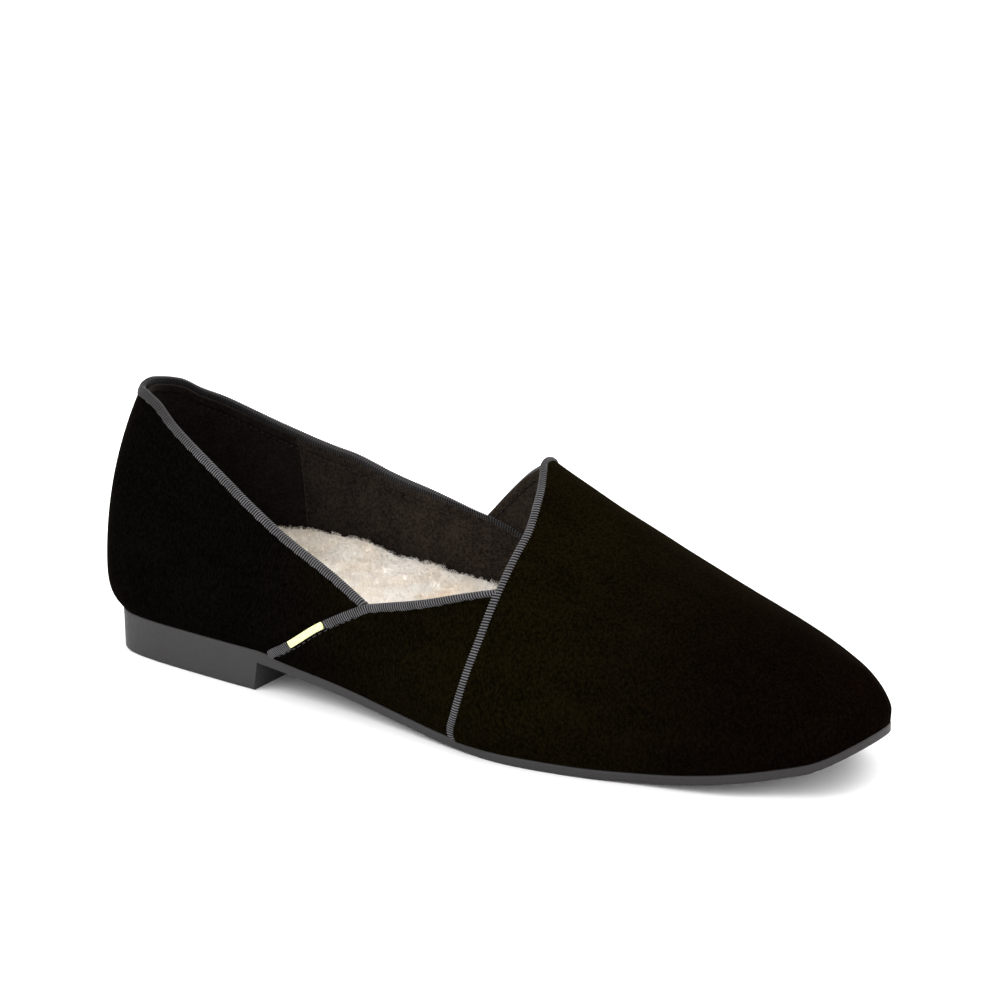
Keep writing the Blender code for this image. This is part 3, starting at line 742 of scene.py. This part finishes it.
def collarReaches(mark):
    wide = ease(mark, *[heelMark + part for part in collar["widens"]])
    return -ribbon["overlap"], blend(collar["nearReach"], collar["farReach"], wide)


def panelHeights(mark):
    # folded over the top edge only, and lower where the tab covers it
    rim = ease(mark, *[panelCorner + part for part in panel["rim"]])
    tabEnd = tab["start"] + tab["length"]
    outer, nearer = panel["clear"]
    under = ease(mark, tab["start"] - outer, tab["start"] - nearer)
    under *= 1 - ease(mark, tabEnd + nearer, tabEnd + outer)
    return blend(ribbon["gap"], inner, rim), blend(ribbon["rise"], ribbon["rise"] / 2, under)


def panelReaches(mark):
    # narrows towards the vamp
    narrow = ease(mark, panelCorner + panel["narrows"], panelRoute.length)
    return -ribbon["overlap"], blend(panel["reach"], vamp["reach"] - panel["slimmer"], narrow)


def vampHeights(mark):
    # folded over the edge between the two corners, and closer to the last over the peak
    start, full = vamp["rim"]
    rim = ease(mark, nearCorner + start, nearCorner + full)
    rim *= 1 - ease(mark, farCorner - full, farCorner - start)
    lift, side = vampRoute.place(mark)[1:]
    corner = math.radians(edges["panelTop"][-1][1] if side == near else edges["farCollar"][-1][1])
    step = blend(vamp["step"], vamp["peakStep"], ease(lift, corner, corner + vamp["peakFade"]))
    lower = vamp["peakLower"] * ease(lift, vamp["lowers"], upright)
    return blend(ribbon["gap"], -last["wall"], rim), step + ribbon["rise"] - vamp["step"] - lower


def vampReaches(mark):
    # narrow on the near side, slim over the peak, as wide as its solid on the far side
    lift, side = vampRoute.place(mark)[1:]
    slim = blend(vamp["reach"], vamp["reach"] - vamp["peakSlimmer"], ease(lift, vamp["slims"], upright))
    if side == near:
        return -ribbon["overlap"], slim
    return -ribbon["overlap"], blend(collar["farReach"], slim, ease(lift, *vamp["farNarrows"]))


def makeRibbons():
    collarRibbon = ribbedBand("collarRibbon", collarRoute, collar["start"], collarRoute.length, collarHeights,
                              looks["ribbon"], collarReaches, skew=collar["skew"], wave=collar["wave"])
    settle(collarRibbon, "ribbon", "collar_binding")
    panelRibbon = ribbedBand("panelRibbon", panelRoute, panel["start"], panelRoute.length + panel["end"],
                             panelHeights, looks["ribbon"], panelReaches, wave=panel["wave"])
    settle(panelRibbon, "ribbon", "side_panel_binding")
    vampRibbon = ribbedBand("vampRibbon", vampRoute, vamp["inset"], vampRoute.length - vamp["inset"],
                            vampHeights, looks["ribbon"], vampReaches)
    # on the far side the fold's inner face is lining
    vampRibbon.data.materials.append(looks["lining"])
    for face in vampRibbon.data.polygons:
        middle = face.center
        away = middle - Vector((middle.x, 0.0, vamp["axisHeight"]))
        over = middle.y > 0 and middle.z > vamp["liningHeight"]
        if over and face.normal.dot(away) < vamp["liningTurn"] * away.length:
            face.material_index = 1
    pullPeak(vampRibbon)
    settle(vampRibbon, "ribbon", "vamp_binding")
    made = (collarRibbon, panelRibbon, vampRibbon)
    print("ribbons:", sum(len(piece.data.polygons) for piece in made), "faces")


liningEdge = {
    "start": -14 * mm,
    "end": 24 * mm,
    "depth": 0.45 * mm,
    "cover": 0.2 * mm,
    "reaches": (-0.9 * mm, 1.5 * mm),
    "wave": 0.1 * mm,
}


def makeLiningEdge():
    # the lining's turned edge, which laps over the foot of the far collar's ribbon
    start, end = heelMark + liningEdge["start"], collarCorner + liningEdge["end"]
    piece = ribbedBand("liningEdge", collarRoute, start, end,
                       lambda mark: (inner - liningEdge["depth"], -last["wall"] + liningEdge["cover"]),
                       looks["lining"], lambda mark: liningEdge["reaches"], wave=liningEdge["wave"], ribs=0.0)
    settle(piece, "velvet")
    print("lining edge:", len(piece.data.polygons), "faces")


def makeTab():
    low = tab["lift"]
    piece = ribbedBand("yellowTab", panelRoute, tab["start"], tab["start"] + tab["length"],
                       lambda mark: (low, low + tab["thickness"]), looks["tab"],
                       lambda mark: (tab["inset"], panel["reach"]), ribs=tab["ribs"])
    settle(piece, "yellow_ribbon", "ribbon_tab")
    print("tab:", len(piece.data.polygons), "faces")


stitches = {
    # outside, beside the panel's back edge
    "panel": {"length": 1.7 * mm, "space": 0.8 * mm, "radius": 0.17 * mm,
              "reach": -0.55 * mm, "out": 0.95 * mm, "insets": (3 * mm, 2 * mm)},
    # on the lining, under the collar's ribbon
    "collar": {"length": 1.4 * mm, "space": 0.7 * mm, "radius": 0.14 * mm,
               "reach": -2.2 * mm, "out": -last["wall"], "insets": (8 * mm, -20 * mm)},
    # inside the vamp's back edge
    "vamp": {"length": 1.9 * mm, "space": 1.0 * mm, "radius": 0.27 * mm,
             "reach": 0.3 * mm, "out": -last["wall"] - 0.1 * mm, "insets": (4 * mm, 3 * mm)},
    "corners": 6,
    "dome": 0.6,
    "sunk": 0.5,
    # share of a stitch's length, share of its radius
    "profile": [(-0.5, 0.35), (-0.3, 0.9), (0.0, 1.0), (0.3, 0.9), (0.5, 0.35)],
}


def stitchRow(shape, route, start, end, name, look):
    # a row of short rounded stitches along a route, on the wall's outside or inside
    row, corners = stitches[name], stitches["corners"]
    start, end = start + row["insets"][0], end - row["insets"][1]
    pitch = row["length"] + row["space"]
    inward = 1 if row["out"] > 0 else -1
    for index in range(int((end - start) / pitch)):
        middle = start + pitch * (index + 0.5)
        rings = []
        for share, thick in stitches["profile"]:
            point, along, outward, across = route.frame(middle + share * row["length"])
            height = row["out"] + inward * row["radius"] * (stitches["dome"] * thick - stitches["sunk"])
            centre = point + across * row["reach"] + outward * height
            ring = []
            for corner in range(corners):
                angle = math.tau * corner / corners
                turned = across * math.cos(angle) + outward * math.sin(angle)
                ring.append(shape.verts.new(centre + turned * row["radius"] * thick))
            rings.append(ring)
        made = [shape.faces.new(rings[0][::-1]), shape.faces.new(rings[-1])]
        for low, high in zip(rings, rings[1:]):
            for corner in range(corners):
                after = (corner + 1) % corners
                made.append(shape.faces.new([low[corner], low[after], high[after], high[corner]]))
        for face in made:
            face.material_index = look


def makeStitches():
    shape = bmesh.new()
    stitchRow(shape, panelRoute, 0.0, panelCorner, "panel", 0)
    stitchRow(shape, collarRoute, 0.0, collarCorner, "collar", 1)
    stitchRow(shape, vampRoute, nearCorner, farCorner, "vamp", 2)
    bmesh.ops.recalc_face_normals(shape, faces=shape.faces)
    mesh = bpy.data.meshes.new("bindingStitches")
    shape.to_mesh(mesh)
    shape.free()
    mesh.shade_smooth()
    for look in ("thread", "liningThread", "darkThread"):
        mesh.materials.append(looks[look])
    piece = bpy.data.objects.new("bindingStitches", mesh)
    bpy.context.scene.collection.objects.link(piece)
    pullPeak(piece)
    settle(piece, "ribbon")
    print("stitches:", len(mesh.polygons), "faces")


fleece = {
    # the footbed's lumps
    "levels": 2,
    "sharp": 50,
    "lumps": 5.0 * mm,
    "lumpSize": 9 * mm,
    "lumpDetail": 2,
    "middle": 0.36,
    "topPower": 2,
    # the shape of a tuft
    "strands": 12,
    "length": (1.2 * mm, 2.1 * mm),
    "thickness": 0.15 * mm,
    "spread": 0.95 * mm,
    "curl": 0.75 * mm,
    "sunk": 0.4 * mm,
    "lean": 0.55,
    "lifted": 0.6,
    "twist": (1.5, 4.0),
    "away": (0.3, 1.0),
    "tall": (0.75, 1.1),
    "closing": 0.6,
    "thinning": 0.7,
    "steps": 4,
    # where tufts grow
    "spacing": 1.05 * mm,
    "slope": 0.3,
    "front": 118 * mm,
    "lowest": 0.6,
    "apart": 0.8,
    "tries": 40000,
    "patches": 4,
    "seed": 7,
}


def makeFootbed():
    piece = workCopy("insole", "fleeceFootbed", fleece["sharp"])
    piece.data.materials.append(looks["fleece"])
    applied(piece, "smooth", "SUBSURF", levels=fleece["levels"], render_levels=fleece["levels"])
    texture = bpy.data.textures.new("fleeceLumps", "CLOUDS")
    texture.noise_scale = fleece["lumpSize"]
    texture.noise_depth = fleece["lumpDetail"]
    tops = piece.vertex_groups.new(name="pile")
    for vertex in piece.data.vertices:
        tops.add([vertex.index], max(0.0, vertex.normal.z) ** fleece["topPower"], "REPLACE")
    applied(piece, "lumps", "DISPLACE", texture=texture, texture_coords="LOCAL", direction="Z",
            strength=fleece["lumps"], mid_level=fleece["middle"], vertex_group="pile")
    piece.vertex_groups.clear()
    only(piece)
    bpy.ops.object.shade_smooth()
    settle(piece, "fleece", "insole")
    print("footbed:", len(piece.data.polygons), "faces")
    return piece


def pileRoots(footbed, dice):
    # evenly scattered places on the footbed's upper face, sorted into a grid to keep them apart
    spacing = fleece["spacing"]
    faces = [face for face in footbed.data.polygons if face.normal.z > fleece["slope"]
             and face.center.x < fleece["front"] and face.center.z > feather(fleece["lowest"])]
    corners = footbed.data.vertices
    taken, roots = {}, []
    for face in dice.choices(faces, weights=[face.area for face in faces], k=fleece["tries"]):
        points = [corners[index].co for index in face.vertices]
        first = points[0].lerp(points[1], dice.random())
        second = points[2].lerp(points[-1], dice.random())
        place = first.lerp(second, dice.random())
        cell = (int(place.x // spacing), int(place.y // spacing))
        around = [taken.get((cell[0] + i, cell[1] + j)) for i in (-1, 0, 1) for j in (-1, 0, 1)]
        if all(other is None or (other - place).length > spacing * fleece["apart"] for other in around):
            taken[cell] = place
            roots.append((place, face.normal.copy()))
    return roots


def tuft(points, faces, root, normal, dice):
    # a loose tuft of thinning strands that twist round each other
    length = dice.uniform(*fleece["length"])
    lean = Vector((dice.uniform(-1, 1), dice.uniform(-1, 1), 0.0)) * fleece["lean"]
    aim = (normal + Vector((0.0, 0.0, fleece["lifted"])) + lean).normalized()
    side = aim.orthogonal().normalized()
    other = aim.cross(side)
    twist = dice.choice((-1, 1)) * dice.uniform(*fleece["twist"])
    for _ in range(fleece["strands"]):
        angle, away = dice.uniform(0, math.tau), dice.uniform(*fleece["away"])
        tall = length * dice.uniform(*fleece["tall"])
        for step in range(fleece["steps"] + 1):
            share = step / fleece["steps"]
            turned = angle + twist * share
            spread = fleece["spread"] * away * (1 - fleece["closing"] * share)
            spread += fleece["curl"] * away * math.sin(math.pi * share)
            turnedSide = side * math.cos(turned) + other * math.sin(turned)
            centre = root + aim * (tall * share - fleece["sunk"]) + turnedSide * spread
            flat = (side * -math.sin(turned) + other * math.cos(turned)) * fleece["thickness"] / 2
            flat *= 1 - fleece["thinning"] * share
            points += [centre - flat, centre + flat]
            if step:
                first = len(points) - 4
                faces.append([first, first + 1, first + 3, first + 2])


def makePile(footbed):
    dice = random.Random(fleece["seed"])
    roots = pileRoots(footbed, dice)
    roots.sort(key=lambda root: root[0].x)
    share = math.ceil(len(roots) / fleece["patches"])
    total = 0
    for patch in range(fleece["patches"]):
        points, faces = [], []
        for root, normal in roots[patch * share:(patch + 1) * share]:
            tuft(points, faces, root, normal, dice)
        name = "fleecePile%d" % (patch + 1)
        mesh = bpy.data.meshes.new(name)
        mesh.from_pydata([tuple(point) for point in points], [], faces)
        mesh.shade_smooth()
        mesh.materials.append(looks["fleece"])
        piece = bpy.data.objects.new(name, mesh)
        bpy.context.scene.collection.objects.link(piece)
        settle(piece, "fleece")
        total += len(faces)
    print("fleece:", len(roots), "tufts with", total, "faces")


def makeStudio():
    studio = {
        "azimuth": 31.59,
        "elevation": 18.12,
        "roll": -0.15,
        "distance": 885 * mm,
        "target": Vector((96.35, 0.0, 35.0)) * mm,
        "lens": 110.0,
        "shift": (0.0087, 0.0868),
        "sky": 1.85,
        "floorWidth": 6.0,
        "floorDrop": 0.02 * mm,
        # place, size and power
        "softBoxes": [((-0.35, -0.75, 0.95), 0.7, 3.0), ((0.55, 0.75, 0.85), 0.6, 3.5)],
    }
    around, above = math.radians(studio["azimuth"]), math.radians(studio["elevation"])
    back = Vector((math.sin(around) * math.cos(above), -math.cos(around) * math.cos(above), math.sin(above)))
    bpy.ops.object.camera_add(location=studio["target"] + back * studio["distance"])
    camera = bpy.context.active_object
    camera.data.lens = studio["lens"]
    camera.data.shift_x, camera.data.shift_y = studio["shift"]
    camera.rotation_mode = "QUATERNION"
    level = (-back).to_track_quat("-Z", "Y")
    camera.rotation_quaternion = level @ Quaternion((0, 0, 1), math.radians(studio["roll"]))
    bpy.context.scene.camera = camera

    bpy.ops.mesh.primitive_plane_add(size=studio["floorWidth"], location=(0, 0, -studio["floorDrop"]))
    floor = bpy.context.active_object
    floor.name = "studioFloor"
    paper = Finish("studioPaper", Roughness=0.9, Specular_IOR_Level=0.1)
    paper.paint(paper.colour(paper.noise(3, 2), tint(0.93, 0.93, 0.93), tint(0.95, 0.95, 0.95)))
    floor.data.materials.append(paper.material)

    world = bpy.data.worlds.new("studioSky")
    world.use_nodes = True
    sky = world.node_tree.nodes["Background"]
    sky.inputs["Color"].default_value = tint(1.0, 1.0, 1.0)
    sky.inputs["Strength"].default_value = studio["sky"]
    bpy.context.scene.world = world
    for place, size, power in studio["softBoxes"]:
        bpy.ops.object.light_add(type="AREA", location=place)
        light = bpy.context.active_object
        light.data.size, light.data.energy = size, power
        light.rotation_mode = "QUATERNION"
        light.rotation_quaternion = (studio["target"] - Vector(place)).to_track_quat("-Z", "Y")
    bpy.context.scene.view_settings.view_transform = "Standard"
    print("studio ready")


makeUpper()
makeOutsole()
makeRibbons()
makeLiningEdge()
makeTab()
makeStitches()
makePile(makeFootbed())
makeStudio()
